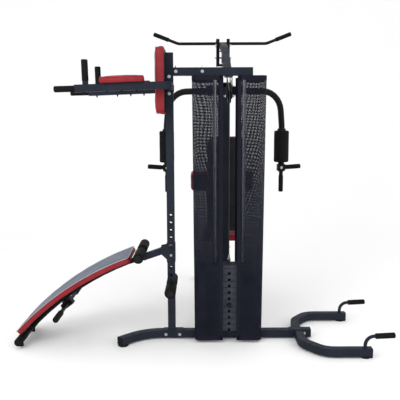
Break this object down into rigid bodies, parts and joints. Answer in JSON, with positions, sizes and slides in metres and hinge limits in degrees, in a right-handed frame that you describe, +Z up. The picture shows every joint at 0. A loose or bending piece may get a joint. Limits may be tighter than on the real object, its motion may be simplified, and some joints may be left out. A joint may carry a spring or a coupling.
{
  "type": "multi station home gym",
  "caption": "Home gym with a shrouded weight stack, press arms, lat bar, dip and knee-raise arms, a curved sit-up bench and low push-up handles.",
  "frame": {"origin": "centre of the footprint, on the floor", "axes": "+Z up, +X along the rear base beam from the bench to the push-up frame, +Y from the weight stack to the seat"},
  "size_m": [2.4122, 1.8368, 2.1963],
  "materials": {
    "frame_paint": "textured powder coat, dark blue-grey",
    "black_paint": "satin black powder coat",
    "chrome_steel": "plated, smooth",
    "cast_iron": "grey-blue coated casting",
    "red_vinyl": "grained upholstery vinyl",
    "grey_vinyl": "grained upholstery vinyl, blue-grey",
    "foam": "closed-cell foam, matt",
    "rubber": "moulded rubber",
    "mesh_fabric": "open knitted mesh",
    "black_plastic": "moulded, fine texture",
    "steel_cable": "coated cable"
  },
  "bodies": {
    "frame": {"rear_base_beam": "frame_paint", "front_base": "frame_paint", "side_post": "frame_paint", "post_foot_bracket": "frame_paint", "top_beam": "frame_paint", "front_upright": "frame_paint", "boom": "frame_paint", "dip_arm_near": "frame_paint", "dip_arm_far": "frame_paint", "seat_frame": "frame_paint", "push_up_frame": "frame_paint", "lat_bar_rack": "black_paint", "post_roller_bar": "black_paint", "guide_rod_left": "chrome_steel", "guide_rod_right": "chrome_steel", "resting_plates": "cast_iron", "arm_pad_near": "red_vinyl", "arm_pad_far": "red_vinyl", "back_pad": "red_vinyl", "backrest": "red_vinyl", "seat": "red_vinyl", "push_up_grip_near": "foam", "push_up_grip_far": "foam", "left_end_foot": "rubber", "stack_foot_left": "rubber", "stack_foot_right": "rubber", "front_foot_left": "rubber", "front_foot_right": "rubber", "push_up_foot_near": "rubber", "push_up_foot_far": "rubber", "shroud_panel_left": "mesh_fabric", "shroud_panel_right": "mesh_fabric", "boom_end_cap": "black_plastic", "cable": "steel_cable"},
    "lifted_stack": {"head_plate": "cast_iron", "lifted_plates": "cast_iron"},
    "selector_pin": {"selector_pin": "black_plastic"},
    "rear_pulley": {"rear_pulley": "black_plastic"},
    "front_pulley": {"front_pulley": "black_plastic"},
    "lat_link": {"lat_link": "chrome_steel"},
    "press_frame": {"press_yoke": "black_paint"},
    "left_arm": {"butterfly_arm_left": "black_paint"},
    "right_arm": {"butterfly_arm_right": "black_paint"},
    "left_arm_roller": {"arm_roller_left": "foam"},
    "right_arm_roller": {"arm_roller_right": "foam"},
    "lat_bar": {"lat_bar": "black_paint"},
    "bench_mount": {"bench_bracket": "frame_paint", "bench_strut": "frame_paint"},
    "bench": {"bench_frame": "black_paint", "bench_pad": "grey_vinyl", "bench_handle_bar": "black_paint"},
    "bench_roller_near": {"bench_roller_near": "foam"},
    "bench_roller_far": {"bench_roller_far": "foam"},
    "post_roller_near": {"post_roller_near": "foam"},
    "post_roller_far": {"post_roller_far": "foam"},
    "leg_developer": {"leg_developer": "frame_paint"},
    "leg_roller_left": {"leg_roller_left": "foam"},
    "leg_roller_right": {"leg_roller_right": "foam"},
    "curl_rest": {"curl_post": "frame_paint", "curl_pad": "red_vinyl"}
  },
  "joints": [
    {"name": "stack_lift", "type": "slide", "parent": "frame", "child": "lifted_stack", "axis": [0, 0, 1], "range_m": [0, 0.75], "deforming": ["cable"]},
    {"name": "selector_pin_pull", "type": "slide", "parent": "lifted_stack", "child": "selector_pin", "axis": [0, -1, 0], "range_m": [0, 0.05]},
    {"name": "rear_pulley_spin", "type": "hinge", "parent": "frame", "child": "rear_pulley", "pos_m": [0.19, -0.5214, 1.62], "axis": [-1, 0, 0], "range_deg": [0, 1100]},
    {"name": "front_pulley_spin", "type": "hinge", "parent": "frame", "child": "front_pulley", "pos_m": [0.19, 0.504, 1.975], "axis": [-1, 0, 0], "range_deg": [0, 1100]},
    {"name": "lat_pull", "type": "slide", "parent": "frame", "child": "lat_link", "axis": [0, 0, -1], "range_m": [0, 0.75]},
    {"name": "press_swing", "type": "hinge", "parent": "frame", "child": "press_frame", "pos_m": [0.19, -0.031, 1.72], "axis": [1, 0, 0], "range_deg": [0, 40]},
    {"name": "left_arm_swing", "type": "hinge", "parent": "press_frame", "child": "left_arm", "pos_m": [0.08, 0.059, 1.6855], "axis": [0, 0, -1], "range_deg": [0, 60]},
    {"name": "right_arm_swing", "type": "hinge", "parent": "press_frame", "child": "right_arm", "pos_m": [0.3, 0.059, 1.6855], "axis": [0, 0, 1], "range_deg": [0, 60]},
    {"name": "left_arm_roller_spin", "type": "hinge", "parent": "left_arm", "child": "left_arm_roller", "pos_m": [-0.263, 0.239, 1.26], "axis": [0, 0, 1], "continuous": true},
    {"name": "right_arm_roller_spin", "type": "hinge", "parent": "right_arm", "child": "right_arm_roller", "pos_m": [0.643, 0.239, 1.26], "axis": [0, 0, 1], "continuous": true},
    {"name": "lat_bar_lift", "type": "slide", "parent": "frame", "child": "lat_bar", "axis": [0, 0, 1], "range_m": [0, 0.05]},
    {"name": "bench_height", "type": "slide", "parent": "frame", "child": "bench_mount", "axis": [0, 0, 1], "range_m": [0, 0.15]},
    {"name": "bench_tilt", "type": "hinge", "parent": "bench_mount", "child": "bench", "pos_m": [-0.415, -0.561, 0.552], "axis": [0, 1, 0], "range_deg": [0, 25]},
    {"name": "bench_roller_near_spin", "type": "hinge", "parent": "bench_mount", "child": "bench_roller_near", "pos_m": [-0.392, -0.691, 0.606], "axis": [0, 1, 0], "continuous": true},
    {"name": "bench_roller_far_spin", "type": "hinge", "parent": "bench_mount", "child": "bench_roller_far", "pos_m": [-0.392, -0.431, 0.606], "axis": [0, 1, 0], "continuous": true},
    {"name": "post_roller_near_spin", "type": "hinge", "parent": "frame", "child": "post_roller_near", "pos_m": [-0.195, -0.671, 0.369], "axis": [0, 1, 0], "continuous": true},
    {"name": "post_roller_far_spin", "type": "hinge", "parent": "frame", "child": "post_roller_far", "pos_m": [-0.195, -0.451, 0.369], "axis": [0, 1, 0], "continuous": true},
    {"name": "leg_developer_swing", "type": "hinge", "parent": "frame", "child": "leg_developer", "pos_m": [0.19, 0.569, 0.47], "axis": [1, 0, 0], "range_deg": [0, 80]},
    {"name": "leg_roller_left_spin", "type": "hinge", "parent": "leg_developer", "child": "leg_roller_left", "pos_m": [0.08, 0.596, 0.185], "axis": [1, 0, 0], "continuous": true},
    {"name": "leg_roller_right_spin", "type": "hinge", "parent": "leg_developer", "child": "leg_roller_right", "pos_m": [0.3, 0.596, 0.185], "axis": [1, 0, 0], "continuous": true},
    {"name": "curl_rest_height", "type": "slide", "parent": "frame", "child": "curl_rest", "axis": [0, 0, 1], "range_m": [0, 0.1]}
  ],
  "couplings": [
    {"joint": "lat_pull", "follows": "stack_lift", "ratio": 1},
    {"joint": "rear_pulley_spin", "follows": "stack_lift", "rad_per_m": 25.253},
    {"joint": "front_pulley_spin", "follows": "stack_lift", "rad_per_m": 25.253}
  ]
}
